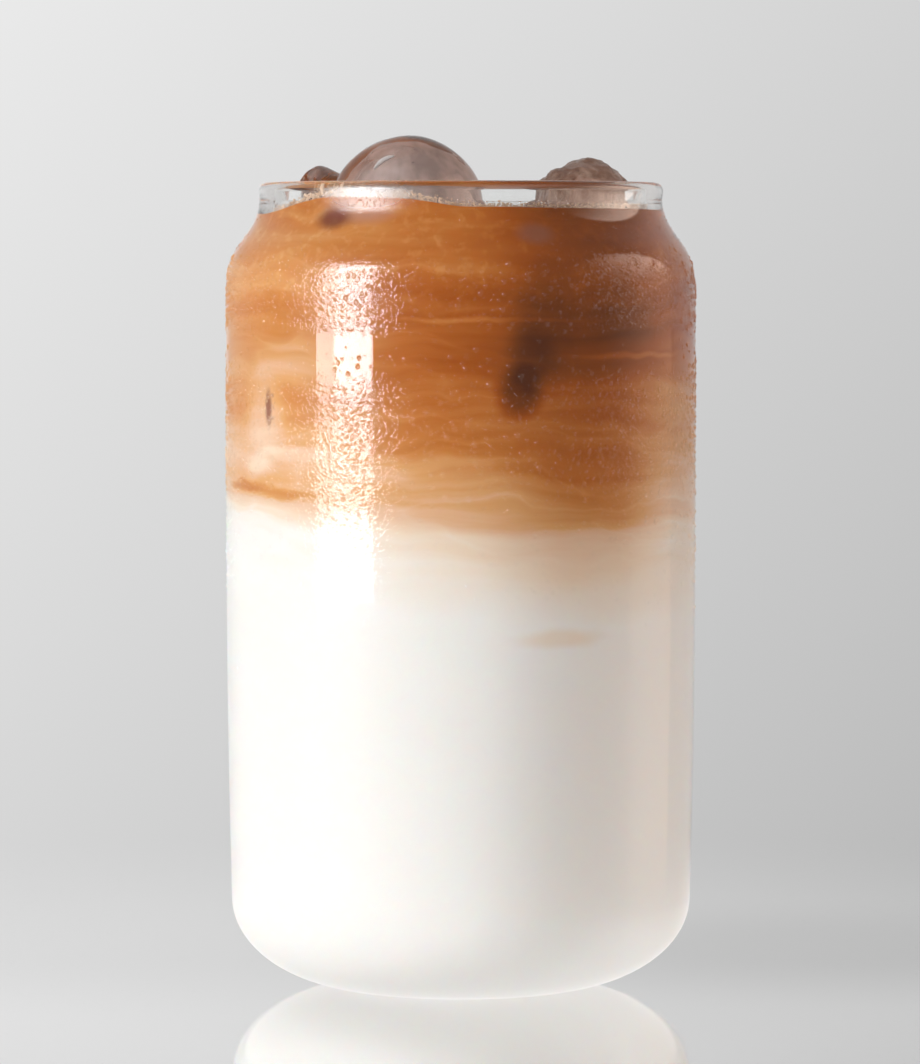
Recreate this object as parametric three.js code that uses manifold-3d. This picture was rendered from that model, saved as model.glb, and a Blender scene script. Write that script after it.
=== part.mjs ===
// An iced latte in a can-shaped drinking glass: cold milk below, espresso and milk above,
// and three pieces of ice that stand out of the drink. Millimetres, +Z up, origin at the
// centre of the foot. The shown side faces -Y, with +X to its right.

import * as THREE from 'three';
import { mergeVertices } from 'three/addons/utils/BufferGeometryUtils.js';
import Module from 'manifold-3d';

// The glass outside
const HEIGHT = 130;
const BODY_RADIUS = 38.1;
const FOOT_RADIUS = 16;
const CORNER_TOP = 14.5;
const TAPER = 1.2;
const TAPER_TOP = 70;
const SHOULDER_DROP = 5.75;
const SHOULDER_MIDDLE = 121.1;
const SHOULDER_SOFTNESS = 1.95;
const SHOULDER_REACH = 4.5 * SHOULDER_SOFTNESS;
const NECK_RADIUS = BODY_RADIUS - SHOULDER_DROP;

// The rolled lip, a half ellipse in section
const LIP_HALF_THICKNESS = 1.3;
const LIP_HALF_HEIGHT = 1.5;
const LIP_CENTRE_RADIUS = 31.35;

// The glass inside
const WALL = 2.2;
const FLOOR = 3.4;
const INNER_CORNER_TOP = 16;
const INNER_FOOT_RADIUS = 15;

// The drink: the mean height of each layer's top, and how uneven it is
const LAYER_LEVEL = 74.6;
const LAYER_FALL = 1.6;
const DRINK_LEVEL = 125.5;
const SWELL = { height: 2.5, angle: -0.52, halfWidth: 0.42 };
const DIP = { height: -1.4, angle: -1.5, halfWidth: 0.4 };
const HILL_STEEPNESS = 4;

// Slow waves on those tops: height, radians a millimetre along X and along Y, and start
const LAYER_WAVES = [
  { height: 0.7, alongX: 1 / 8.5, alongY: 1 / 13, start: 0 },
  { height: 0.5, alongX: -1 / 17, alongY: 1 / 7, start: 1.3 },
];
const LEVEL_WAVES = [
  { height: 0.25, alongX: 1 / 6, alongY: 0, start: 0.8 },
  { height: 0.2, alongX: 0, alongY: 1 / 5, start: -0.5 },
];

// Clearance between neighbours, and the distance under which corners are one
const GAP = 0.3;
const WELD = 1e-4;

// Facets
const GLASS_SIDES = 56;
const DRINK_SIDES = 44;
const ICE_DETAIL = 4;
const CORNER_STEPS = 8;
const LIP_STEPS = 8;
const SHOULDER_STEPS = 9;
const SURFACE_RINGS = 7;

// Ice: half sizes, squareness (2 is an ellipsoid, 4 a soft cube), unevenness, place and turn
const ICE = [
  {
    name: 'ice_dome', half: [12.5, 12.4, 12.6], squareness: 2.02, relief: 0.008,
    at: [-8.5, -9, 124.8], turn: [0.1, 0.05, 0.3], phase: 0.4,
  },
  {
    name: 'ice_left', half: [8.5, 5.6, 6.6], squareness: 5, relief: 0.02,
    at: [-19.8, 8.1, 123.5], turn: [-0.14, 0.57, 0.72], phase: 1.9,
  },
  {
    name: 'ice_right', half: [9.2, 8.3, 8.1], squareness: 2.2, relief: 0.05,
    at: [18.9, 7.6, 124.8], turn: [-0.03, -0.74, -0.38], phase: 3.35,
  },
];

// Relief on the ice: radians along each axis of a unit ball, and the finer relief's share
const BROAD_RELIEF = { x: 5, y: 4 };
const FINE_RELIEF = { x: 7, y: 8, z: 9, share: 0.5 };

// Radius of the glass outside, above its corner: a straight wall that narrows a little
// towards the foot and swings in under the lip
function wallRadius(z) {
  const low = Math.max(0, 1 - z / TAPER_TOP);
  const shoulder = 1 / (1 + Math.exp((SHOULDER_MIDDLE - z) / SHOULDER_SOFTNESS));
  return BODY_RADIUS - TAPER * low * low - SHOULDER_DROP * shoulder;
}

// Points of a quarter ellipse from the edge of a flat foot up to a wall
function corner(footRadius, footZ, topRadius, topZ) {
  const points = [];
  for (let step = 0; step < CORNER_STEPS; step += 1) {
    const angle = (step / CORNER_STEPS) * Math.PI / 2;
    const radius = footRadius + (topRadius - footRadius) * Math.sin(angle);
    points.push(new THREE.Vector2(radius, topZ - (topZ - footZ) * Math.cos(angle)));
  }
  return points;
}

// Heights up the wall, close together through the shoulder
function wallHeights(from, to) {
  const shoulderStart = SHOULDER_MIDDLE - SHOULDER_REACH;
  const heights = [from];
  if (from < TAPER_TOP / 2) {
    heights.push((from + TAPER_TOP) / 2);
  }
  for (let step = 0; step < SHOULDER_STEPS; step += 1) {
    heights.push(THREE.MathUtils.lerp(shoulderStart, to, step / SHOULDER_STEPS));
  }
  heights.push(to);
  return heights;
}

// A closed solid turned about Z from a profile of radius and height
function turned(profile, sides) {
  const geometry = new THREE.LatheGeometry(profile, sides);
  geometry.rotateX(Math.PI / 2);
  return welded(geometry);
}

// Only positions are kept, so that each corner is one shared vertex
function welded(geometry) {
  geometry.deleteAttribute('normal');
  geometry.deleteAttribute('uv');
  return mergeVertices(geometry, WELD);
}

function glassProfile() {
  const lipZ = HEIGHT - LIP_HALF_HEIGHT;
  const neckZ = lipZ - LIP_HALF_HEIGHT;
  const profile = [new THREE.Vector2(0, 0)];
  profile.push(...corner(FOOT_RADIUS, 0, wallRadius(CORNER_TOP), CORNER_TOP));
  for (const z of wallHeights(CORNER_TOP, neckZ)) {
    profile.push(new THREE.Vector2(wallRadius(z), z));
  }
  for (let step = 0; step <= LIP_STEPS; step += 1) {
    const angle = (step / LIP_STEPS) * Math.PI;
    const radius = LIP_CENTRE_RADIUS + LIP_HALF_THICKNESS * Math.cos(angle);
    profile.push(new THREE.Vector2(radius, lipZ + LIP_HALF_HEIGHT * Math.sin(angle)));
  }
  for (const z of wallHeights(INNER_CORNER_TOP, neckZ).reverse()) {
    profile.push(new THREE.Vector2(wallRadius(z) - WALL, z));
  }
  const innerWall = wallRadius(INNER_CORNER_TOP) - WALL;
  profile.push(...corner(INNER_FOOT_RADIUS, FLOOR, innerWall, INNER_CORNER_TOP).reverse());
  profile.push(new THREE.Vector2(0, FLOOR));
  return profile;
}

// The drink stays a little clear of the glass
function drinkRadius(z) {
  return wallRadius(z) - WALL - GAP;
}

// Points of a level surface from one radius to another
function surface(z, fromRadius, toRadius) {
  const points = [];
  for (let ring = 0; ring < SURFACE_RINGS; ring += 1) {
    const radius = THREE.MathUtils.lerp(fromRadius, toRadius, ring / SURFACE_RINGS);
    points.push(new THREE.Vector2(radius, z));
  }
  return points;
}

function waves(list, x, y) {
  return list.reduce((sum, { height, alongX, alongY, start }) => (
    sum + height * Math.sin(x * alongX + y * alongY + start)
  ), 0);
}

// Where milk and coffee meet: a slow wave that falls towards +X
function layerWave(x, y) {
  return waves(LAYER_WAVES, x, y) - LAYER_FALL * x / BODY_RADIUS;
}

// A soft hill along the glass wall, at an angle measured from the shown side
function hill({ height, angle, halfWidth }, x, y) {
  const away = (Math.atan2(x, -y) - angle) / halfWidth;
  const outwards = Math.min(1, Math.hypot(x, y) / NECK_RADIUS) ** HILL_STEEPNESS;
  return height * outwards * Math.exp(-(away ** HILL_STEEPNESS));
}

// The drink's own surface: nearly level, drawn up and down the glass in places
function levelWave(x, y) {
  return waves(LEVEL_WAVES, x, y) + hill(SWELL, x, y) + hill(DIP, x, y);
}

// A flat surface, which has no wave
function still() {
  return 0;
}

// Lifts a turned layer by one wave at its low end and another at its high end, and
// keeps its side the same distance from the glass
function ripple(geometry, low, lowWave, high, highWave) {
  const position = geometry.getAttribute('position');
  for (let index = 0; index < position.count; index += 1) {
    const x = position.getX(index);
    const y = position.getY(index);
    const z = position.getZ(index);
    const share = THREE.MathUtils.clamp((z - low) / (high - low), 0, 1);
    const lift = THREE.MathUtils.lerp(lowWave(x, y), highWave(x, y), share);
    const stretch = drinkRadius(z + lift) / drinkRadius(z);
    position.setXYZ(index, x * stretch, y * stretch, z + lift);
  }
  return geometry;
}

function milkGeometry() {
  const top = LAYER_LEVEL - GAP / 2;
  const foot = INNER_FOOT_RADIUS - GAP;
  const profile = [new THREE.Vector2(0, FLOOR + GAP)];
  profile.push(...corner(foot, FLOOR + GAP, drinkRadius(INNER_CORNER_TOP), INNER_CORNER_TOP));
  for (const z of [INNER_CORNER_TOP, (INNER_CORNER_TOP + top) / 2]) {
    profile.push(new THREE.Vector2(drinkRadius(z), z));
  }
  profile.push(...surface(top, drinkRadius(top), 0));
  profile.push(new THREE.Vector2(0, top));
  return ripple(turned(profile, DRINK_SIDES), INNER_CORNER_TOP, still, top, layerWave);
}

function coffeeGeometry() {
  const bottom = LAYER_LEVEL + GAP / 2;
  const profile = surface(bottom, 0, drinkRadius(bottom));
  for (const z of wallHeights(bottom, DRINK_LEVEL).slice(0, -1)) {
    profile.push(new THREE.Vector2(drinkRadius(z), z));
  }
  profile.push(...surface(DRINK_LEVEL, drinkRadius(DRINK_LEVEL), 0));
  profile.push(new THREE.Vector2(0, DRINK_LEVEL));
  return ripple(turned(profile, DRINK_SIDES), bottom, layerWave, DRINK_LEVEL, levelWave);
}

// A melting lump of ice: a ball drawn out towards a box, with a low uneven relief.
// A margin makes the pocket that the same piece needs in the drink.
function iceGeometry({ half, squareness, relief, phase }, margin = 0) {
  const geometry = welded(new THREE.IcosahedronGeometry(1, ICE_DETAIL));
  const position = geometry.getAttribute('position');
  const [a, b, c] = half.map((size) => size + margin);
  const direction = new THREE.Vector3();
  for (let index = 0; index < position.count; index += 1) {
    direction.fromBufferAttribute(position, index).normalize();
    const { x, y, z } = direction;
    const reach = Math.abs(x / a) ** squareness + Math.abs(y / b) ** squareness
      + Math.abs(z / c) ** squareness;
    const broad = Math.sin(BROAD_RELIEF.x * x + phase) * Math.sin(BROAD_RELIEF.y * y + 2 * phase);
    const fine = Math.sin(FINE_RELIEF.z * z + FINE_RELIEF.x * x - phase)
      * Math.cos(FINE_RELIEF.y * y + phase);
    const bumps = broad + FINE_RELIEF.share * fine;
    direction.multiplyScalar(reach ** (-1 / squareness) * (1 + relief * bumps));
    position.setXYZ(index, direction.x, direction.y, direction.z);
  }
  return geometry;
}

function place(object, { at, turn }) {
  object.position.set(...at);
  object.rotation.set(...turn);
  object.updateMatrix();
  return object;
}

function toManifold(wasm, geometry) {
  return new wasm.Manifold(new wasm.Mesh({
    numProp: 3,
    vertProperties: new Float32Array(geometry.getAttribute('position').array),
    triVerts: new Uint32Array(geometry.index.array),
  }));
}

function toGeometry(manifold) {
  const mesh = manifold.getMesh();
  const geometry = new THREE.BufferGeometry();
  geometry.setAttribute('position', new THREE.BufferAttribute(mesh.vertProperties, 3));
  geometry.setIndex(new THREE.BufferAttribute(mesh.triVerts, 1));
  return geometry;
}

// The coffee layer with an open pocket for each piece of ice
function coffeeRoundIce(wasm) {
  let coffee = toManifold(wasm, coffeeGeometry());
  for (const piece of ICE) {
    const pocket = place(new THREE.Mesh(iceGeometry(piece, GAP)), piece);
    coffee = coffee.subtract(toManifold(wasm, pocket.geometry.applyMatrix4(pocket.matrix)));
  }
  return toGeometry(coffee);
}

function named(name, geometry, look) {
  geometry.computeVertexNormals();
  const mesh = new THREE.Mesh(geometry, new THREE.MeshStandardMaterial(look));
  mesh.name = name;
  return mesh;
}

const wasm = await Module();
wasm.setup();

const icedLatte = new THREE.Group();
const clear = { color: '#e4e8e8', roughness: 0.03, metalness: 0, transparent: true, opacity: 0.3 };
icedLatte.add(named('glass', turned(glassProfile(), GLASS_SIDES), clear));
icedLatte.add(named('milk', milkGeometry(), { color: '#f6f0ea', roughness: 0.3, metalness: 0 }));
const brown = { color: '#b9712f', roughness: 0.3, metalness: 0 };
icedLatte.add(named('coffee', coffeeRoundIce(wasm), brown));
for (const piece of ICE) {
  const look = { color: '#cbbdb6', roughness: 0.08, metalness: 0, transparent: true, opacity: 0.6 };
  icedLatte.add(place(named(piece.name, iceGeometry(piece), look), piece));
}

export default icedLatte;
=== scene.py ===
import math
import random

import bmesh
import bpy
import numpy as np
from mathutils import Euler, Matrix, Vector, noise


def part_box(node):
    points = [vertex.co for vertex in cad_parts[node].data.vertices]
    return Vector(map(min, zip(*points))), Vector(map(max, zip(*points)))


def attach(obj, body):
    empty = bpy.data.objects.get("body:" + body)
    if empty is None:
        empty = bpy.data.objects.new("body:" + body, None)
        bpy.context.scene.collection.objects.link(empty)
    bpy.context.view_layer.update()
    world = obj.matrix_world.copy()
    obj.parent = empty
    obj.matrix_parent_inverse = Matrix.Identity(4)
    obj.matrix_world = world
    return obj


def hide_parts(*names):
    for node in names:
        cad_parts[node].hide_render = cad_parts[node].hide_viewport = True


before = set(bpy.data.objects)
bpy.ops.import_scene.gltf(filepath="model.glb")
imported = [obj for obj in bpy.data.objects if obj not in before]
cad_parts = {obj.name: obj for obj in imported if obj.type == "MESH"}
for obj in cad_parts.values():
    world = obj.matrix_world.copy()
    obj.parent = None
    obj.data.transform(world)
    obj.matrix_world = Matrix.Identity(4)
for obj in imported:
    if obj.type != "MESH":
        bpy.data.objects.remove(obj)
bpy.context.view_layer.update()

# An iced latte in a can-shaped glass. Sizes are in millimetres and meshes in metres.

MM = 0.001

# The camera of the photograph, whose frame is 920 by 1064 pixels
FRAME_WIDTH = 920
FRAME_HEIGHT = 1064
SENSOR = 36.0
CAMERA_DISTANCE = 850.0
CAMERA_HEIGHT = 119.3
CAMERA_PITCH = math.radians(3.08)
FOCAL_PIXELS = 5257.0
AXIS_PIXEL = 460.8
HORIZON_PIXEL = 249.1

# The glass, as the frame gives it and as it was drawn
GLASS_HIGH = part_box("glass")[1] / MM
HEIGHT = GLASS_HIGH.z
BEAD_ROOM = 0.12
BODY_RADIUS = GLASS_HIGH.x - BEAD_ROOM
FOOT_RADIUS = 16.0
CORNER_TOP = 14.5
TAPER = 1.2
TAPER_TOP = 70.0
SHOULDER_DROP = 5.75
SHOULDER_MIDDLE = 121.1
SHOULDER_SOFTNESS = 1.95
SHOULDER_REACH = 5 * SHOULDER_SOFTNESS
NECK_RADIUS = BODY_RADIUS - SHOULDER_DROP
LIP_HALF_THICKNESS = 1.3
LIP_HALF_HEIGHT = 1.5
LIP_CENTRE_RADIUS = 31.35
WALL = 2.2
FLOOR = 3.4
INNER_CORNER_TOP = 16.0
INNER_FOOT_RADIUS = 15.0

# How finely it is turned
GLASS_SIDES = 180
DRINK_SIDES = 144
CORNER_STEPS = 22
LIP_STEPS = 20
WALL_SPACING = 6
SHOULDER_SPACING = 0.6
SURFACE_RINGS = 26

# Edges sharper than this stay sharp, in degrees
SHARP = 50
CUT_SHARP = 35

# The drink
LAYER_LEVEL = 74.6
LAYER_FALL = 1.6
DRINK_LEVEL = 125.5
SWELL = (2.5, -0.52, 0.42)
DIP = (-1.4, -1.5, 0.4)
HILL_STEEPNESS = 4
REACH_INTO_WALL = 0.05

# Slow waves on its layers: height, radians a millimetre along X and along Y, and start
LAYER_WAVES = ((0.7, 1 / 8.5, 1 / 13, 0.0), (0.5, -1 / 17, 1 / 7, 1.3))
LEVEL_WAVES = ((0.25, 1 / 6, 0.0, 0.8), (0.2, 0.0, 1 / 5, -0.5))

# Ice: half sizes, squareness, relief, centre, turn and phase. Its own pieces are a hair smaller
# than their solids, and a finer relief is laid on them.
ICE = {
    "ice_dome": ((12.5, 12.4, 12.6), 2.02, 0.008, (-8.5, -9.0, 124.8), (0.1, 0.05, 0.3), 0.4),
    "ice_left": ((8.5, 5.6, 6.6), 5.0, 0.02, (-19.8, 8.1, 123.5), (-0.14, 0.57, 0.72), 1.9),
    "ice_right": ((9.2, 8.3, 8.1), 2.2, 0.05, (18.9, 7.6, 124.8), (-0.03, -0.74, -0.38), 3.35),
}
ICE_MARGIN = -0.01
WRINKLES = {"ice_dome": 0.0, "ice_left": 0.012, "ice_right": 0.035}
WRINKLE_SIZE = 0.2

# Relief on the ice: radians along each axis of a unit ball, and the finer relief's share
BROAD_RELIEF = (5, 4)
FINE_RELIEF = (7, 8, 9)
FINE_SHARE = 0.5

# The cloud in a lump of ice: how far inside its face the shells lie, and where they stand
HEART_MARGINS = (-2.8, -3.6, -4.4, -5.2)
HEART_SHIFT = (0.6, 0.0, -1.0)
HEART_WRINKLE = 0.03

# A curved crack in the dome, near its face, painted white as a highlight: centre, half sizes and
# lean
CRACK_PLACE = (-12.2, -16.0, 133.0)
CRACK_HALF = (1.9, 0.35, 0.45)
CRACK_LEAN = -0.6

# Condensation: how many beads, their least and greatest radii, and the seed of their places
COARSE_BEADS = (7500, 0.16, 0.5, 11)
MIST_BEADS = (5500, 0.08, 0.2, 12)

# The heights that it covers, and the middles, half heights and thickness of its belts
WET_HEIGHTS = (30, 127)
WET_BELTS = ((112.5, 5.5, 1.0), (91, 11, 1.0), (74, 9, 0.3))
WIPED_BELT = (103.5, 3)
MISTY_BELT = (100, 48)
BEAD_KINDS = 6
BEAD_TALLNESS = (0.9, 1.35)
BEAD_DOME = (0.42, 0.6)
BEAD_CLEARANCE = 0.005
BEAD_TRIES = 8
SUNK = 0.03

# Droplets in the glass material: spacing, and a droplet's radius as a share of it
SMALL_DROPLETS = 0.45
LARGE_DROPLETS = 0.95
DROPLET_REACH = 0.47

# Foam: how many bubbles, their least and greatest radii, and the seed of their places
BUBBLES = (1700, 0.09, 0.26, 21)
FINE_BUBBLES = (9500, 0.05, 0.13, 22)


def on_drink(pixel_x, pixel_y):
    """The place on the drink's shown side that a pixel of the photograph looks at."""
    radius = BODY_RADIUS - WALL
    z = CAMERA_HEIGHT - (pixel_y - HORIZON_PIXEL) * (CAMERA_DISTANCE - radius) / FOCAL_PIXELS
    if z > SHOULDER_MIDDLE - 4:
        radius = wall_radius(z) - WALL
    x = (pixel_x - AXIS_PIXEL) * (CAMERA_DISTANCE - 0.8 * radius) / FOCAL_PIXELS
    return (x, -math.sqrt(max(0, radius * radius - x * x)), z)


# Shapes


def wall_radius(z):
    """Radius of the glass outside at a height above its corner."""
    low = max(0.0, 1 - z / TAPER_TOP)
    shoulder = 1 / (1 + math.exp((SHOULDER_MIDDLE - z) / SHOULDER_SOFTNESS))
    return BODY_RADIUS - TAPER * low * low - SHOULDER_DROP * shoulder


def corner(foot_radius, foot_z, top_radius, top_z):
    """A quarter ellipse from the edge of a flat foot up to a wall."""
    points = []
    for step in range(CORNER_STEPS):
        angle = step / CORNER_STEPS * math.pi / 2
        radius = foot_radius + (top_radius - foot_radius) * math.sin(angle)
        points.append((radius, top_z - (top_z - foot_z) * math.cos(angle)))
    return points


def heights(low, high, spacing):
    """Even steps between two heights, both ends included."""
    steps = max(1, round((high - low) / spacing))
    return [low + (high - low) * step / steps for step in range(steps + 1)]


def wall_heights(low, high):
    """Heights up the wall, close together through the shoulder."""
    shoulder = SHOULDER_MIDDLE - SHOULDER_REACH
    return heights(low, shoulder, WALL_SPACING)[:-1] + heights(shoulder, high, SHOULDER_SPACING)


def glass_profile():
    lip_z = HEIGHT - LIP_HALF_HEIGHT
    neck_z = lip_z - LIP_HALF_HEIGHT
    points = [(0, 0), *corner(FOOT_RADIUS, 0, wall_radius(CORNER_TOP), CORNER_TOP)]
    points += [(wall_radius(z), z) for z in wall_heights(CORNER_TOP, neck_z)]
    for step in range(LIP_STEPS + 1):
        angle = step / LIP_STEPS * math.pi
        radius = LIP_CENTRE_RADIUS + LIP_HALF_THICKNESS * math.cos(angle)
        points.append((radius, lip_z + LIP_HALF_HEIGHT * math.sin(angle)))
    points += [(wall_radius(z) - WALL, z) for z in reversed(wall_heights(INNER_CORNER_TOP, neck_z))]
    inner_wall = wall_radius(INNER_CORNER_TOP) - WALL
    points += reversed(corner(INNER_FOOT_RADIUS, FLOOR, inner_wall, INNER_CORNER_TOP))
    points.append((0, FLOOR))
    return points


def turn_profile(points, sides):
    """A closed bmesh turned about Z from a profile of radius and height, both ends on the axis."""
    shape = bmesh.new()
    chain = [shape.verts.new((radius * MM, 0, z * MM)) for radius, z in points]
    edges = [shape.edges.new(pair) for pair in zip(chain, chain[1:])]
    bmesh.ops.spin(shape, geom=chain + edges, cent=(0, 0, 0), axis=(0, 0, 1), dvec=(0, 0, 0),
                   angle=math.tau, steps=sides, use_merge=True, use_duplicate=False)
    bmesh.ops.remove_doubles(shape, verts=shape.verts, dist=1e-7)
    bmesh.ops.dissolve_degenerate(shape, edges=shape.edges, dist=1e-7)
    bmesh.ops.recalc_face_normals(shape, faces=shape.faces)
    return shape


def make_piece(name, shape, sharp=None):
    """A new object from a bmesh, smooth shaded, with edges over an angle kept sharp."""
    mesh = bpy.data.meshes.new(name)
    shape.to_mesh(mesh)
    shape.free()
    return make_object(name, mesh, sharp)


def make_object(name, mesh, sharp=None):
    mesh.shade_smooth()
    if sharp:
        mesh.set_sharp_from_angle(angle=math.radians(sharp))
    piece = bpy.data.objects.new(name, mesh)
    bpy.context.scene.collection.objects.link(piece)
    return piece


def drink_radius(z):
    """The drink reaches just into the glass, so that no air shows between them."""
    return wall_radius(z) - WALL + REACH_INTO_WALL


def waves(kinds, x, y):
    """The height of some slow waves at a place."""
    return sum(height * math.sin(x * along_x + y * along_y + start)
               for height, along_x, along_y, start in kinds)


def layer_wave(x, y):
    """Where milk and coffee meet: a slow wave that falls towards +X."""
    return waves(LAYER_WAVES, x, y) - LAYER_FALL * x / BODY_RADIUS


def hill(shape, x, y):
    """A soft hill along the glass wall, at an angle measured from the shown side."""
    height, angle, half_width = shape
    away = (math.atan2(x, -y) - angle) / half_width
    outwards = min(1.0, math.hypot(x, y) / NECK_RADIUS) ** HILL_STEEPNESS
    return height * outwards * math.exp(-away ** HILL_STEEPNESS)


def level_wave(x, y):
    """The drink's own surface: nearly level, drawn up and down the glass in places."""
    return waves(LEVEL_WAVES, x, y) + hill(SWELL, x, y) + hill(DIP, x, y)


def still(x, y):
    """A flat surface, which has no wave."""
    return 0.0


def ripple(shape, low, low_wave, high, high_wave):
    """Lifts a turned layer by one wave at its low end and another at its high end."""
    for vert in shape.verts:
        x, y, z = vert.co / MM
        share = min(1.0, max(0.0, (z - low) / (high - low)))
        lift = (1 - share) * low_wave(x, y) + share * high_wave(x, y)
        stretch = drink_radius(z + lift) / drink_radius(z)
        vert.co = Vector((x * stretch, y * stretch, z + lift)) * MM


def level_rings(z, from_radius, to_radius):
    """Points of a level surface from one radius to another."""
    step = (to_radius - from_radius) / SURFACE_RINGS
    return [(from_radius + step * ring, z) for ring in range(SURFACE_RINGS)]


def milk_shape():
    profile = [(0, FLOOR - REACH_INTO_WALL)]
    profile += corner(INNER_FOOT_RADIUS, FLOOR - REACH_INTO_WALL, drink_radius(INNER_CORNER_TOP),
                      INNER_CORNER_TOP)
    profile += [(drink_radius(z), z) for z in heights(INNER_CORNER_TOP, LAYER_LEVEL, 3)[:-1]]
    profile += level_rings(LAYER_LEVEL, drink_radius(LAYER_LEVEL), 0)
    shape = turn_profile([*profile, (0, LAYER_LEVEL)], DRINK_SIDES)
    ripple(shape, INNER_CORNER_TOP, still, LAYER_LEVEL, layer_wave)
    return shape


def coffee_shape():
    profile = level_rings(LAYER_LEVEL, 0, drink_radius(LAYER_LEVEL))
    profile += [(drink_radius(z), z) for z in wall_heights(LAYER_LEVEL, DRINK_LEVEL)[:-1]]
    profile += level_rings(DRINK_LEVEL, drink_radius(DRINK_LEVEL), 0)
    shape = turn_profile([*profile, (0, DRINK_LEVEL)], DRINK_SIDES)
    ripple(shape, LAYER_LEVEL, layer_wave, DRINK_LEVEL, level_wave)
    return shape


def ice_shape(name, margin=0.0, wrinkle=0.0, subdivisions=6):
    """A melting lump of ice: a ball drawn out towards a box, with a low uneven relief."""
    half, squareness, relief, centre, turn, phase = ICE[name]
    shape = bmesh.new()
    bmesh.ops.create_icosphere(shape, subdivisions=subdivisions, radius=1)
    place = Matrix.Translation(centre) @ Euler(turn, "ZYX").to_matrix().to_4x4()
    for vert in shape.verts:
        x, y, z = vert.co.normalized()
        reach = sum(abs(part / (size + margin)) ** squareness
                    for part, size in zip((x, y, z), half)) ** (-1 / squareness)
        broad = (math.sin(BROAD_RELIEF[0] * x + phase)
                 * math.sin(BROAD_RELIEF[1] * y + 2 * phase))
        fine = (math.sin(FINE_RELIEF[2] * z + FINE_RELIEF[0] * x - phase)
                * math.cos(FINE_RELIEF[1] * y + phase))
        at = Vector((x, y, z)) / WRINKLE_SIZE + Vector((phase, 0, 0))
        bumps = relief * (broad + FINE_SHARE * fine) + wrinkle * noise.fractal(at, 0.8, 2.2, 4)
        vert.co = (place @ (Vector((x, y, z)) * reach * (1 + bumps))) * MM
    bmesh.ops.recalc_face_normals(shape, faces=shape.faces)
    return shape


def heart_shape(name):
    """The cloud in a lump of ice: shells inside one another, so that it fades out at its edge."""
    shells = bmesh.new()
    for margin in HEART_MARGINS:
        mesh = bpy.data.meshes.new("shell")
        shell = ice_shape(name, margin, HEART_WRINKLE, 4)
        shell.to_mesh(mesh)
        shell.free()
        shells.from_mesh(mesh)
        bpy.data.meshes.remove(mesh)
    bmesh.ops.translate(shells, verts=shells.verts, vec=Vector(HEART_SHIFT) * MM)
    return shells


def cut_away(piece, shapes):
    """Cuts closed shapes out of a piece, for good."""
    for shape in shapes:
        cutter = make_piece("cutter", shape)
        cut = piece.modifiers.new("cut", "BOOLEAN")
        cut.operation = "DIFFERENCE"
        cut.solver = "MANIFOLD"
        cut.object = cutter
        graph = bpy.context.evaluated_depsgraph_get()
        mesh = bpy.data.meshes.new_from_object(piece.evaluated_get(graph))
        piece.modifiers.clear()
        piece.data = mesh
        bpy.data.objects.remove(cutter)
    piece.data.shade_smooth()
    piece.data.set_sharp_from_angle(angle=math.radians(CUT_SHARP))


def scatter(name, templates, spots):
    """One mesh with a copy of a template at each spot: a template's number and a matrix."""
    points, faces, start = [], [], 0
    for kind, matrix in spots:
        corners, sides = templates[kind]
        turn = np.array(matrix)
        points.append(corners @ turn[:3, :3].T + turn[:3, 3])
        faces.append(sides + start)
        start += len(corners)
    points = np.concatenate(points).astype(np.float32)
    faces = np.concatenate(faces).astype(np.int32)
    mesh = bpy.data.meshes.new(name)
    mesh.vertices.add(len(points))
    mesh.vertices.foreach_set("co", points.ravel())
    mesh.loops.add(faces.size)
    mesh.loops.foreach_set("vertex_index", faces.ravel())
    mesh.polygons.add(len(faces))
    mesh.polygons.foreach_set("loop_start", np.arange(0, faces.size, 3, dtype=np.int32))
    mesh.update(calc_edges=True)
    return make_object(name, mesh, SHARP)


def template(shape):
    """The corners and triangles of a small bmesh, for scatter."""
    bmesh.ops.triangulate(shape, faces=shape.faces)
    shape.verts.index_update()
    corners = np.array([vert.co[:] for vert in shape.verts])
    sides = np.array([[vert.index for vert in face.verts] for face in shape.faces])
    shape.free()
    return corners, sides


def bead_template(seed, segments, rings, unevenness=0.16):
    """A water bead of unit radius and height, domed outside (+X) and flat behind."""
    shape = bmesh.new()
    bmesh.ops.create_uvsphere(shape, u_segments=segments, v_segments=4 * rings, radius=1)
    cut = math.cos(math.pi / 4)
    bmesh.ops.bisect_plane(shape, geom=shape.verts[:] + shape.edges[:] + shape.faces[:],
                           plane_co=(0, 0, cut), plane_no=(0, 0, -1), clear_outer=True)
    bmesh.ops.holes_fill(shape, edges=[edge for edge in shape.edges if edge.is_boundary], sides=0)
    for vert in shape.verts:
        around = math.atan2(vert.co.y, vert.co.x)
        uneven = noise.noise(Vector((math.cos(around), math.sin(around), seed * 3.7)))
        wide = (1 + unevenness * uneven) / cut
        vert.co = (vert.co.x * wide, vert.co.y * wide, (vert.co.z - cut) / (1 - cut))
    bmesh.ops.rotate(shape, verts=shape.verts, cent=(0, 0, 0),
                     matrix=Matrix.Rotation(math.pi / 2, 3, "Y"))
    bmesh.ops.recalc_face_normals(shape, faces=shape.faces)
    return template(shape)


def wall_frame(angle, z, sink):
    """A place on the glass outside: its X axis points out of the wall and its Z axis up it."""
    step = 0.2
    radius = wall_radius(z) - sink
    slope = (wall_radius(z + step) - wall_radius(z - step)) / (2 * step)
    outwards = Vector((math.sin(angle), -math.cos(angle), 0))
    up = (outwards * slope + Vector((0, 0, 1))).normalized()
    side = Vector((math.cos(angle), math.sin(angle), 0))
    normal = side.cross(up)
    basis = Matrix((normal, side, up)).transposed().to_4x4()
    return Matrix.Translation(outwards * radius + Vector((0, 0, z))) @ basis


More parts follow.
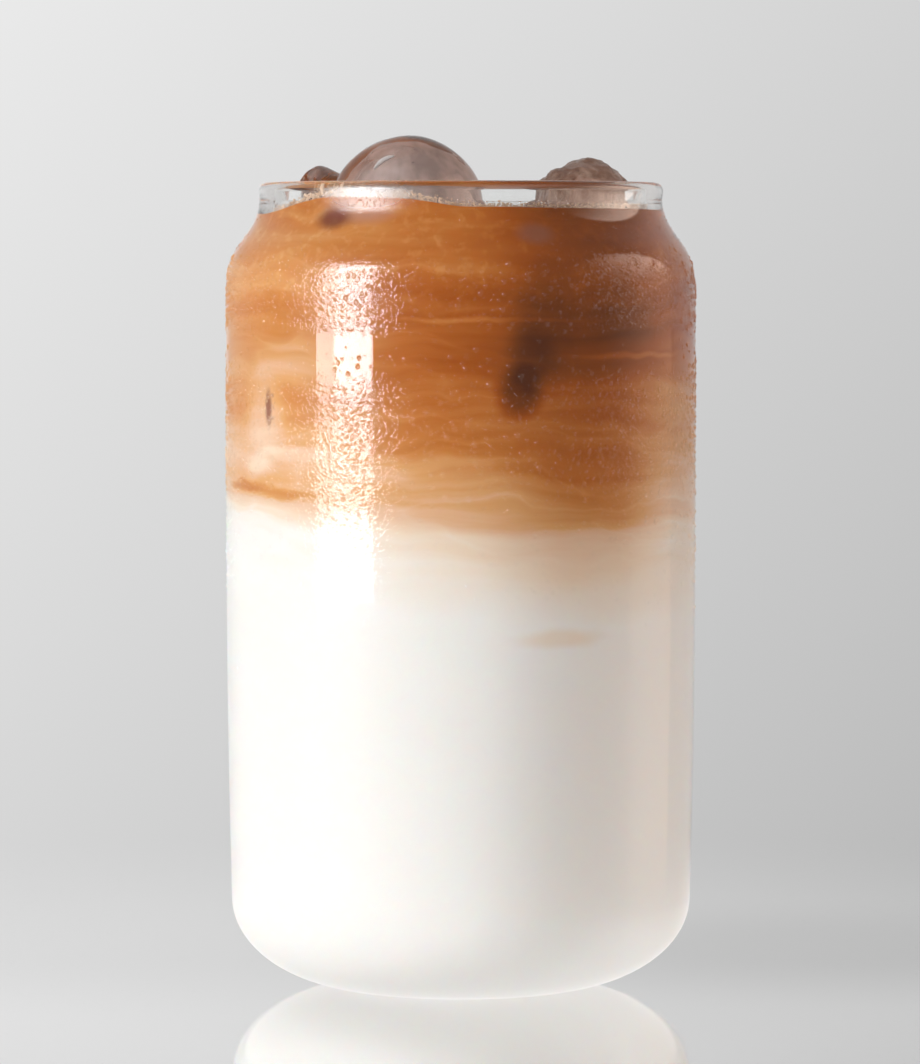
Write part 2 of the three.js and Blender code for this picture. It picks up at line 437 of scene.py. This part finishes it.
def band(z, middle, half):
    """1 through a band of heights, falling off softly outside it."""
    return math.exp(-((z - middle) / half) ** 4)


def wetness(angle, z):
    """How thick the coarse beads stand: two belts round the glass and a wiped belt between."""
    patch = noise.noise(Vector((math.sin(angle) * 2.5, math.cos(angle) * 2.5, z / 9)))
    belts = max(share * band(z, middle, half) for middle, half, share in WET_BELTS)
    return belts * (0.8 + 0.6 * patch)


def mistiness(angle, z):
    """How thick the fine mist stands: everywhere but the wiped belt, thinning downwards."""
    patch = noise.noise(Vector((math.sin(angle) * 4, math.cos(angle) * 4, z / 12)))
    return band(z, *MISTY_BELT) * (0.75 + 0.5 * patch) * (1 - 0.9 * band(z, *WIPED_BELT))


def crowded(taken, across, z, size):
    """Whether a bead would stand on another, and its claim on the wall when it does not."""
    column, row = round(across), round(z)
    for near_column in (column - 1, column, column + 1):
        for near_row in (row - 1, row, row + 1):
            for other_across, other_z, other_size in taken.get((near_column, near_row), ()):
                if math.hypot(across - other_across, z - other_z) < size + other_size:
                    return True
    taken.setdefault((column, row), []).append((across, z, size))
    return False


def settle_beads(count, least, most, seed, thickness, taken):
    """Beads on the wall, the largest first, each as a template's number and a matrix."""
    draw = random.Random(seed)
    sizes = sorted((least + (most - least) * draw.random() ** 2.4 for bead in range(count)),
                   reverse=True)
    spots = []
    for size in sizes:
        for attempt in range(BEAD_TRIES):
            angle = draw.uniform(-math.pi, math.pi)
            z = draw.uniform(*WET_HEIGHTS)
            if draw.random() > thickness(angle, z):
                continue
            if crowded(taken, angle * BODY_RADIUS, z, size * 0.95):
                continue
            tall = draw.uniform(*BEAD_TALLNESS)
            room = GLASS_HIGH.x / max(abs(math.sin(angle)), abs(math.cos(angle))) - wall_radius(z)
            dome = min(size * draw.uniform(*BEAD_DOME), room - BEAD_CLEARANCE) + SUNK
            scale = Matrix.Diagonal((dome, size, size * tall, 1))
            lean = Matrix.Rotation(draw.uniform(-0.4, 0.4), 4, "X")
            place = Matrix.Scale(MM, 4) @ wall_frame(angle, z, SUNK)
            spots.append((draw.randrange(BEAD_KINDS), place @ lean @ scale))
            break
    return spots


def crack_shape():
    shape = bmesh.new()
    bmesh.ops.create_icosphere(shape, subdivisions=4, radius=1)
    bmesh.ops.scale(shape, verts=shape.verts, vec=Vector(CRACK_HALF) * MM)
    for vert in shape.verts:
        vert.co.z -= (vert.co.x / CRACK_HALF[0] / MM) ** 2 * CRACK_HALF[2] * MM
    bmesh.ops.rotate(shape, verts=shape.verts, cent=(0, 0, 0),
                     matrix=Matrix.Rotation(CRACK_LEAN, 3, "Y"))
    bmesh.ops.translate(shape, verts=shape.verts, vec=Vector(CRACK_PLACE) * MM)
    return shape


def bubble_template(subdivisions):
    shape = bmesh.new()
    bmesh.ops.create_icosphere(shape, subdivisions=subdivisions, radius=1)
    return template(shape)


def foam_spots(count, least, most, seed):
    """Bubbles along the edge of the drink, against the glass, crowded at the line itself."""
    draw = random.Random(seed)
    spots = []
    for bubble in range(count):
        size = least + (most - least) * draw.random() ** 3
        angle = draw.uniform(-math.pi, math.pi)
        outwards = Vector((math.sin(angle), -math.cos(angle), 0))
        z = DRINK_LEVEL + level_wave(*(outwards * NECK_RADIUS).xy)
        z += draw.gauss(0.15, 0.35) + size * 0.3
        inside = size * draw.uniform(0.7, 1.0) + abs(draw.gauss(0, 0.12))
        place = outwards * (wall_radius(z) - WALL - inside) + Vector((0, 0, z))
        spots.append((0, Matrix.Scale(MM, 4) @ Matrix.Translation(place) @ Matrix.Scale(size, 4)))
    return spots


# Finishes


class Wire:
    """A socket, with the operators that shader maths is written in."""

    def __init__(self, finish, socket):
        self.finish = finish
        self.socket = socket

    def math(self, operation, *values):
        inputs = dict(enumerate(values))
        return self.finish.add("ShaderNodeMath", {"operation": operation}, inputs)

    def at_least(self, other):
        return self.math("MAXIMUM", self, other)

    def __add__(self, other):
        return self.math("ADD", self, other)

    def __radd__(self, other):
        return self.math("ADD", other, self)

    def __sub__(self, other):
        return self.math("SUBTRACT", self, other)

    def __rsub__(self, other):
        return self.math("SUBTRACT", other, self)

    def __mul__(self, other):
        return self.math("MULTIPLY", self, other)

    def __rmul__(self, other):
        return self.math("MULTIPLY", other, self)

    def __truediv__(self, other):
        return self.math("DIVIDE", self, other)

    def __rtruediv__(self, other):
        return self.math("DIVIDE", other, self)

    def __pow__(self, other):
        return self.math("POWER", self, other)

    def __abs__(self):
        return self.math("ABSOLUTE", self)


class Finish:
    """A node tree, and the methods that add to it."""

    def __init__(self, tree):
        self.tree = tree
        tree.nodes.clear()

    def add(self, kind, settings=None, inputs=None, output=0):
        """Adds a node: its settings first, then its inputs by name or number."""
        node = self.tree.nodes.new(kind)
        for name, setting in (settings or {}).items():
            if name == "stops":
                self.set_stops(node.color_ramp, setting)
            else:
                setattr(node, name, setting)
        for name, value in (inputs or {}).items():
            if isinstance(value, Wire):
                self.tree.links.new(value.socket, node.inputs[name])
            else:
                node.inputs[name].default_value = value
        return Wire(self, node.outputs[output]) if node.outputs else None

    def set_stops(self, ramp, stops):
        while len(ramp.elements) < len(stops):
            ramp.elements.new(1.0)
        for element, (position, colour) in zip(ramp.elements, stops):
            element.position = position
            parts = colour if isinstance(colour, tuple) else (colour, colour, colour)
            element.color = (*parts, 1)

    def place(self, scale=(1, 1, 1)):
        """Object coordinates in millimetres, stretched."""
        at = self.add("ShaderNodeTexCoord", output="Object")
        scale = [part / MM for part in scale]
        return self.add("ShaderNodeMapping", {}, {"Vector": at, "Scale": scale})

    def vector(self, x, y, z):
        return self.add("ShaderNodeCombineXYZ", {}, {0: x, 1: y, 2: z})

    def parts(self, vector):
        return [self.add("ShaderNodeSeparateXYZ", {}, {0: vector}, output) for output in range(3)]

    def noise(self, vector, size, detail, roughness=0.5):
        """Noise from 0 to 1 with features of about this size in millimetres."""
        inputs = {"Vector": vector, "Scale": 1 / size, "Detail": detail, "Roughness": roughness}
        return self.add("ShaderNodeTexNoise", {"noise_dimensions": "3D"}, inputs)

    def ease(self, value, low, high, first=0.0, last=1.0):
        """A smooth step from one value to another."""
        inputs = {0: value, 1: low, 2: high, 3: first, 4: last}
        return self.add("ShaderNodeMapRange", {"interpolation_type": "SMOOTHSTEP"}, inputs)

    def droplets(self, vector, spacing, share):
        """Small domes that stand apart, as heights from 0 to 1. They shrink with share."""
        settings = {"feature": "F1", "distance": "EUCLIDEAN"}
        away = self.add("ShaderNodeTexVoronoi", settings, {"Vector": vector, "Scale": 1 / spacing})
        return (share - (away / DROPLET_REACH) ** 2).at_least(0)

    def ramp(self, value, stops):
        """A colour or number that follows stops."""
        return self.add("ShaderNodeValToRGB", {"stops": stops}, {0: value})

    def heights_ramp(self, z, low, high, stops):
        """A number that follows stops given by height in millimetres, highest stop last."""
        share = self.add("ShaderNodeMapRange", {}, {0: z, 1: low, 2: high, 3: 0.0, 4: 1.0})
        return self.ramp(share, [((height - low) / (high - low), value) for height, value in stops])

    def mix(self, factor, first, second):
        """Mixes two colours."""
        settings = {"data_type": "RGBA"}
        return self.add("ShaderNodeMix", settings, {0: factor, 6: first, 7: second}, 2)

    def blend(self, factor, first, second):
        """Mixes two numbers."""
        settings = {"data_type": "FLOAT"}
        return self.add("ShaderNodeMix", settings, {0: factor, 2: first, 3: second}, 0)

    def spot(self, vector, centre, half, softness=0.6):
        """1 at a place, falling to 0 at its edge."""
        away = self.add("ShaderNodeVectorMath", {"operation": "SUBTRACT"}, {0: vector, 1: centre})
        away = self.add("ShaderNodeVectorMath", {"operation": "DIVIDE"}, {0: away, 1: half})
        away = self.add("ShaderNodeVectorMath", {"operation": "LENGTH"}, {0: away}, "Value")
        return self.ease(away, 1 - softness, 1 + softness, 1.0, 0.0)

    def shader(self, **inputs):
        """The Principled shader, its sockets given with _ for a space."""
        named = {name.replace("_", " "): value for name, value in inputs.items()}
        return self.add("ShaderNodeBsdfPrincipled", {}, named)

    def show(self, shader):
        self.add("ShaderNodeOutputMaterial", {}, {"Surface": shader})

    def bump(self, height, strength, distance):
        inputs = {"Height": height, "Strength": strength, "Distance": distance * MM}
        return self.add("ShaderNodeBump", {}, inputs)

    def let_lamps_through(self, shader, tint):
        """Lamps reach what is behind clear glass or ice, a little weaker."""
        clear = self.add("ShaderNodeBsdfTransparent", {}, {"Color": tint})
        shadow = self.add("ShaderNodeLightPath", output="Is Shadow Ray")
        return self.add("ShaderNodeMixShader", {}, {0: shadow, 1: shader, 2: clear})


def new_material(name):
    material = bpy.data.materials.new(name)
    material.use_nodes = True
    return material, Finish(material.node_tree)


# Paler and darker places in the drink: centre, half size and change in milkiness
MARKS = [
    (on_drink(518, 392), (3.0, 3.0, 3.6), -0.34),
    (on_drink(530, 358), (3.2, 3.2, 5.0), -0.16),
    (on_drink(542, 322), (4.8, 4.8, 8.0), -0.1),
    (on_drink(268, 420), (4.6, 4.6, 6.0), 0.12),
    (on_drink(300, 456), (7.5, 7.5, 1.2), 0.1),
    (on_drink(262, 470), (4.0, 4.0, 1.4), 0.12),
    (on_drink(250, 491), (6.5, 6.5, 0.8), -0.2),
    (on_drink(285, 497), (6.5, 6.5, 0.7), -0.1),
    (on_drink(300, 365), (9.0, 9.0, 3.0), 0.1),
    (on_drink(560, 640), (6.0, 6.0, 1.3), -0.07),
    (on_drink(620, 325), (7.0, 7.0, 2.6), -0.07),
    (on_drink(630, 356), (9.0, 9.0, 0.5), 0.14),
    (on_drink(480, 320), (12.0, 12.0, 0.4), 0.1),
]

# Ice under the surface that shows through the drink: centre, half size, strength and colour
SUNK_ICE = [
    (on_drink(533, 236), (2.6, 2.6, 1.6), 0.55, (0.3, 0.14, 0.1, 1)),
    (on_drink(368, 214), (4.4, 4.4, 1.7), 0.6, (0.5, 0.28, 0.22, 1)),
    (on_drink(337, 221), (2.9, 2.9, 1.6), 0.8, (0.15, 0.035, 0.03, 1)),
    (on_drink(342, 210), (2.4, 2.4, 1.6), 0.5, (0.22, 0.06, 0.05, 1)),
    (on_drink(273, 410), (0.75, 0.75, 2.5), 0.8, (0.22, 0.05, 0.03, 1)),
]


def paint(piece, material):
    piece.data.materials.clear()
    piece.data.materials.append(material)
    return piece


def clear_glass():
    """Clear glass, misted outside with droplets too fine to stand as pieces of their own."""
    material, finish = new_material("clear_glass")
    at = finish.place()
    x, y, z = finish.parts(at)
    outside = finish.ease((x * x + y * y) ** 0.5, 33.4, 33.9) + finish.ease(z, 119, 122)
    patch = finish.noise(at, 9, 2)
    belts = finish.heights_ramp(z + (patch - 0.5) * 3, 40, 130, [
        (40, 0.0), (62, 0.2), (78, 0.75), (84, 1.0), (97, 1.0), (101.0, 0.06), (105.5, 0.06),
        (107, 1.0), (115, 1.0), (119, 0.4), (122, 0.0), (130, 0.0)])
    mist = belts * outside
    fog = finish.spot(at, on_drink(372, 196), (9.0, 9.0, 2.8), 0.8)
    small = finish.droplets(at, SMALL_DROPLETS, mist.at_least(fog))
    large = finish.droplets(at, LARGE_DROPLETS, mist)
    wobble = finish.noise(at, 14, 2) * 0.06
    surface = finish.bump(large * 0.044 + small * (fog * 0.02 + 0.02) + wobble, 1.0, 1.0)
    roughness = mist * 0.1 + fog * finish.ease(z, 123, 126, 0.15, 0.35) + 0.012
    glass = finish.shader(Base_Color=(0.975, 0.985, 0.98, 1), Roughness=roughness, IOR=1.5,
                          Transmission_Weight=1.0, Normal=surface)
    finish.show(finish.let_lamps_through(glass, (0.76, 0.76, 0.75, 1)))
    return material


def water():
    """The beads of condensation."""
    material, finish = new_material("condensed_water")
    ripples = finish.bump(finish.noise(finish.place(), 0.5, 2), 0.1, 0.05)
    drop = finish.shader(Base_Color=(1, 1, 1, 1), Roughness=0.01, IOR=1.33,
                         Transmission_Weight=1.0, Normal=ripples)
    finish.show(finish.let_lamps_through(drop, (0.97, 0.97, 0.97, 1)))
    return material


def ice():
    """Wet clear ice with faint frost."""
    material, finish = new_material("wet_ice")
    at = finish.place()
    frost = finish.noise(at, 2.5, 4, 0.6)
    roughness = finish.ease(frost, 0.45, 0.75, 0.02, 0.1)
    surface = finish.bump(finish.noise(at, 3.4, 2, 0.5), 0.12, 0.5)
    # The tint is darker in streaks: partly the ice's own dark streaks, partly painted shade that
    # darkens the drink seen through it
    streaks_and_shade = finish.noise(finish.place((1, 1, 0.35)), 5, 3, 0.6)
    colour = finish.ramp(streaks_and_shade, [(0.38, (0.3, 0.29, 0.29)), (0.66, (0.92, 0.88, 0.87))])
    body = finish.shader(Base_Color=colour, Roughness=roughness, IOR=1.31,
                         Transmission_Weight=1.0, Normal=surface)
    finish.show(finish.let_lamps_through(body, (0.85, 0.83, 0.82, 1)))
    return material


def frosted_ice():
    """Rough, half melted ice, tan where the drink shows through it."""
    material, finish = new_material("rough_ice")
    at = finish.place()
    grain = finish.noise(at, 1.1, 4, 0.6)
    surface = finish.bump(grain, 0.5, 0.5)
    colour = finish.ramp(grain, [(0.3, (0.4, 0.23, 0.16)), (0.65, (0.74, 0.56, 0.46))])
    body = finish.shader(Base_Color=colour, Roughness=0.15, IOR=1.31, Transmission_Weight=0.7,
                         Normal=surface)
    finish.show(finish.let_lamps_through(body, (0.85, 0.83, 0.82, 1)))
    return material


def cloud():
    """The cloudy heart of a piece of ice: fine trapped air, denser in places."""
    material, finish = new_material("cloudy_ice")
    at = finish.place()
    haze = finish.noise(at, 7, 3, 0.5)
    dense = finish.ease(haze, 0.2, 0.75, 0.18, 0.42)
    colour = finish.ramp(haze, [(0.3, (0.85, 0.68, 0.62)), (0.7, (1.0, 0.86, 0.82))])
    body = finish.shader(Base_Color=colour, Roughness=0.6, Alpha=dense)
    finish.show(body)
    return material


def air_and_highlight():
    """Air in a crack in the ice. Its white is a painted highlight."""
    material, finish = new_material("trapped_air_and_highlight")
    tone = finish.noise(finish.place(), 0.8, 2)
    colour = finish.ramp(tone, [(0.3, (0.75, 0.74, 0.74)), (0.7, (0.95, 0.95, 0.95))])
    finish.show(finish.shader(Base_Color=colour, Roughness=0.3, Alpha=0.85))
    return material


def foam():
    """The drink's fine tan foam."""
    material, finish = new_material("drink_foam")
    tone = finish.noise(finish.place(), 3, 2)
    colour = finish.ramp(tone, [(0.3, (0.52, 0.33, 0.2)), (0.7, (0.74, 0.56, 0.42))])
    finish.show(finish.shader(Base_Color=colour, Roughness=0.25))
    return material


def drink(name):
    """Milk, and espresso that swirls into it. One colouring runs through both layers."""
    material, finish = new_material(name)
    at = finish.place()
    x, y, z = finish.parts(at)
    swirl = finish.noise(finish.place((0.6, 0.6, 1.0)), 15, 2)
    eddy = finish.noise(at, 6, 1)
    warped = z + (swirl - 0.5) * 8
    in_coffee = finish.ease(z, 64, 82)

    # How milky the drink is by height, on the left, in the middle and on the right
    left = finish.heights_ramp(warped, 50, 130, [
        (50, 1.0), (75, 1.0), (78, 0.92), (81, 0.7), (86, 0.78), (91, 0.74), (96, 0.65),
        (101, 0.7), (105, 0.66), (110, 0.57), (115, 0.62), (120, 0.55), (130, 0.5)])
    middle = finish.heights_ramp(warped, 50, 130, [
        (50, 1.0), (62, 1.0), (67, 0.96), (71, 0.93), (75.5, 0.86), (77.5, 0.75), (82, 0.69),
        (87, 0.59), (92, 0.49), (101, 0.47), (105, 0.42), (110, 0.42), (117, 0.46), (130, 0.46)])
    right = finish.heights_ramp(warped, 50, 130, [
        (50, 1.0), (60, 1.0), (66, 0.94), (71, 0.85), (75.5, 0.8), (77.5, 0.66), (82, 0.6),
        (87, 0.53), (91, 0.45), (97, 0.39), (102, 0.31), (106, 0.2), (114, 0.24), (130, 0.2)])
    towards_middle = finish.ease(x, -33, 2)
    towards_right = finish.ease(x, -1, 20)
    milky = finish.blend(towards_right, finish.blend(towards_middle, left, middle), right)
    # Paler near the right edge of the coffee: painted light from the right side
    milky = milky + finish.ease(x, 23, 34, 0, 0.22) * in_coffee

    # Broad bands, finer streaks and thin pale threads, all drawn out round the glass
    broad = finish.noise(finish.vector(x * 0.022, y * 0.022, warped * 0.13), 1, 2)
    fine = finish.noise(finish.vector(x * 0.03, y * 0.03, (warped + eddy * 1.4) * 0.5), 1, 3)
    thread = finish.noise(finish.vector(x * 0.03, y * 0.03, (warped + eddy * 3) * 0.16), 1, 1)
    ridge = (1 - abs(thread - 0.5) * 2) ** 24
    fleck = finish.ease(finish.noise(at, 1.5, 2), 0.5, 0.72)
    top = finish.ease(z, 104, 114)
    milky = milky + (broad - 0.5) * (0.3 * in_coffee)
    milky = milky + (fine - 0.5) * (0.19 * in_coffee)
    milky = milky + ridge * (0.04 * in_coffee)
    milky = milky + fleck * (0.05 * top)

    # Marks that the photograph shows on its side of the glass
    for centre, half, change in MARKS:
        uneven = finish.vector(x, y, z + (eddy - 0.5) * 2)
        milky = milky + finish.spot(uneven, centre, half) * change
    colour = finish.ramp(milky, [
        (0.0, (0.12, 0.03, 0.004)), (0.2, (0.24, 0.06, 0.004)), (0.4, (0.43, 0.108, 0.007)),
        (0.5, (0.53, 0.17, 0.024)), (0.6, (0.64, 0.272, 0.07)), (0.7, (0.73, 0.4, 0.165)),
        (0.8, (0.8, 0.55, 0.37)), (0.9, (0.88, 0.74, 0.6)), (1.0, (0.92, 0.9, 0.88))])
    for centre, half, share, tone in SUNK_ICE:
        colour = finish.mix(finish.spot(at, centre, half) * share, colour, tone)
    body = finish.shader(Base_Color=colour, Roughness=0.3, IOR=1.35, Specular_IOR_Level=0.15,
                         Subsurface_Weight=0.5, Subsurface_Radius=(1.0, 0.6, 0.4),
                         Subsurface_Scale=0.2 * MM)
    finish.show(body)
    return material


def table_top():
    """A pale polished floor that mirrors the glass. Its far edge fades into the backdrop."""
    material, finish = new_material("pale_floor")
    at = finish.place()
    reach = finish.add("ShaderNodeVectorMath", {"operation": "LENGTH"}, {0: at}, "Value")
    x, y, z = finish.parts(at)
    # A painted shadow of the glass on the floor, behind it and to the right; the floor is also
    # darker towards the back
    painted_shadow = finish.spot(at, (62, 45, 0), (55, 45, 50), 0.7) * 0.16
    tone = finish.ease(y, -45, 35, 0.99, 0.87) - painted_shadow
    floor = finish.shader(Base_Color=finish.vector(tone, tone, tone), Roughness=0.06, Metallic=1.0)
    # The object's underside is lit as by a white table
    white = finish.add("ShaderNodeEmission", {}, {"Color": (1, 0.98, 0.96, 1), "Strength": 1.0})
    seen = finish.add("ShaderNodeLightPath", output="Is Camera Ray")
    floor = finish.add("ShaderNodeMixShader", {}, {0: seen, 1: white, 2: floor})
    gone = finish.add("ShaderNodeBsdfTransparent")
    fade = finish.ease(reach, 70, 230)
    finish.show(finish.add("ShaderNodeMixShader", {}, {0: fade, 1: floor, 2: gone}))
    return material


# The object


def dress(piece, material):
    paint(piece, material)
    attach(piece, "root")
    return piece


glass = make_piece("drinking_glass", turn_profile(glass_profile(), GLASS_SIDES))
dress(glass, clear_glass())
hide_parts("glass")

milk = make_piece("milk_layer", milk_shape(), SHARP)
dress(milk, drink("cold_milk"))
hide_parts("milk")

coffee = make_piece("coffee_layer", coffee_shape())
cut_away(coffee, [ice_shape(name, -REACH_INTO_WALL, 0, 5) for name in ICE])
dress(coffee, drink("milky_coffee"))
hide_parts("coffee")

wet_ice = ice()
cloudy_ice = cloud()
rough_ice = frosted_ice()
for name, wrinkle in WRINKLES.items():
    melted = rough_ice if name == "ice_right" else wet_ice
    lump = make_piece(name + "_piece", ice_shape(name, ICE_MARGIN, wrinkle))
    dress(lump, melted)
    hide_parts(name)
    heart = make_piece(name + "_heart", heart_shape(name))
    dress(heart, cloudy_ice)

# The dome's crack, painted white as a highlight
dress(make_piece("ice_dome_crack", crack_shape()), air_and_highlight())

coarse = [bead_template(seed, 8, 3) for seed in range(BEAD_KINDS)]
fine = [bead_template(seed, 6, 2) for seed in range(BEAD_KINDS)]
condensation = water()
claimed = {}
spots = settle_beads(*COARSE_BEADS, wetness, claimed)
half = len(spots) // 2
for number, share in enumerate((spots[:half], spots[half:])):
    beads = scatter("condensation_beads_%d" % (number + 1), coarse, share)
    dress(beads, condensation)
spots = settle_beads(*MIST_BEADS, mistiness, claimed)
dress(scatter("condensation_mist", fine, spots), condensation)

froth = foam()
bubbles = scatter("foam_bubbles", [bubble_template(2)], foam_spots(*BUBBLES))
dress(bubbles, froth)
fine_foam = scatter("fine_foam", [bubble_template(1)], foam_spots(*FINE_BUBBLES))
dress(fine_foam, froth)


# The stage


def make_floor():
    shape = bmesh.new()
    bmesh.ops.create_circle(shape, cap_ends=True, segments=96, radius=0.3)
    floor = paint(make_piece("floor", shape), table_top())


def make_softbox(name, place, width, height, power, colour, mirrored):
    """A soft light that faces the glass: either one that lights it or one that it mirrors."""
    lamp = bpy.data.lights.new(name, "AREA")
    lamp.shape = "RECTANGLE"
    lamp.size = width
    lamp.size_y = height
    lamp.energy = power
    lamp.color = colour
    piece = bpy.data.objects.new(name, lamp)
    piece.location = Vector(place) * (0.96 if mirrored else 1)
    facing = Vector((-place[0], -place[1], 0))
    piece.rotation_euler = facing.to_track_quat("-Z", "Y").to_euler()
    piece.visible_camera = False
    piece.visible_glossy = mirrored
    piece.visible_diffuse = not mirrored
    piece.visible_transmission = not mirrored
    bpy.context.scene.collection.objects.link(piece)


def make_surroundings():
    """A pale studio: the backdrop's soft gradient, dimmer and a little warm towards the front."""
    world = bpy.data.worlds.new("studio")
    world.use_nodes = True
    bpy.context.scene.world = world
    finish = Finish(world.node_tree)
    heading = finish.add("ShaderNodeTexCoord", output="Generated")
    x, y, z = finish.parts(heading)
    across = finish.add("ShaderNodeClamp", {}, {0: x / 0.0875, 1: -1.4, 2: 1.4})
    upwards = finish.add("ShaderNodeClamp", {}, {0: (z + 0.0537) / 0.1012, 1: -1.2, 2: 1.0})
    pale = 0.64 - across * 0.085 + upwards * 0.095 - finish.ease(z, 0.05, 0.12, 0.0, 0.06)
    ahead = finish.ease(y, 0.1, 0.75)
    around = finish.mix(ahead, (0.3, 0.27, 0.255, 1), (0.62, 0.6, 0.59, 1))
    # A broad warm reflector on the right: dim at its near edge, brighter behind and higher up
    reflector = finish.ease(x, 0.79, 0.83) * finish.ease(y, 0.55, 0.6, 1.0, 0.0)
    above = finish.ease(z, 0.05, 0.3)
    behind = finish.ease(y, -0.4, 0.3)
    gain = finish.blend(above, finish.blend(behind, 0.36, 1.1), finish.blend(behind, 0.5, 3.8))
    warm = finish.vector(gain, gain * 0.8, gain * 0.68)
    around = finish.mix(reflector, around, warm)
    seen = finish.add("ShaderNodeLightPath", output="Is Camera Ray")
    backdrop = finish.add("ShaderNodeCombineXYZ", {}, {0: pale, 1: pale, 2: pale})
    straight = finish.ease(y, 0.9, 0.99)
    around = finish.mix(straight, around, backdrop)
    shown = finish.mix(seen, around, backdrop)
    sky = finish.add("ShaderNodeBackground", {}, {"Color": shown, "Strength": 1.0})
    finish.add("ShaderNodeOutputWorld", {}, {"Surface": sky})


def make_camera():
    camera = bpy.data.cameras.new("camera")
    camera.sensor_width = SENSOR
    camera.lens = FOCAL_PIXELS / FRAME_HEIGHT * SENSOR
    camera.clip_start = 0.01
    camera.clip_end = 50
    viewer = bpy.data.objects.new("camera", camera)
    aside = (FRAME_WIDTH / 2 - AXIS_PIXEL) / FOCAL_PIXELS * CAMERA_DISTANCE
    viewer.location = Vector((aside, -CAMERA_DISTANCE, CAMERA_HEIGHT)) * MM
    viewer.rotation_euler = (math.pi / 2 - CAMERA_PITCH, 0, 0)
    bpy.context.scene.collection.objects.link(viewer)
    bpy.context.scene.camera = viewer


def set_light_paths():
    scene = bpy.context.scene
    scene.view_settings.view_transform = "Standard"
    scene.cycles.use_denoising = True
    scene.cycles.max_bounces = 20
    scene.cycles.transmission_bounces = 20
    scene.cycles.glossy_bounces = 6
    scene.cycles.diffuse_bounces = 3
    scene.cycles.transparent_max_bounces = 24
    scene.cycles.blur_glossy = 0.6
    scene.cycles.adaptive_threshold = 0.03
    scene.cycles.adaptive_min_samples = 12
    scene.cycles.sample_clamp_indirect = 6


make_floor()
WHITE = (1, 0.99, 0.98)
PINKISH = (1, 0.95, 0.93)
COOL = (0.88, 0.95, 1)
KEY = (-0.957, -0.724, 0.35)
KEY_WING = (-1.11, -0.44, 0.35)
KEY_CROWN = (-0.986, -0.746, 0.385)
make_softbox("key", KEY, 0.427, 0.7, 6.0, WHITE, False)
make_softbox("key_wing", KEY_WING, 0.24, 0.7, 1.2, PINKISH, False)
make_softbox("key_mirrored", KEY, 0.427, 0.7, 12.5, COOL, True)
make_softbox("key_wing_mirrored", KEY_WING, 0.2, 0.7, 4.0, COOL, True)
make_softbox("key_crown_mirrored", KEY_CROWN, 0.4, 0.65, 6.0, COOL, True)
make_surroundings()
make_camera()
set_light_paths()
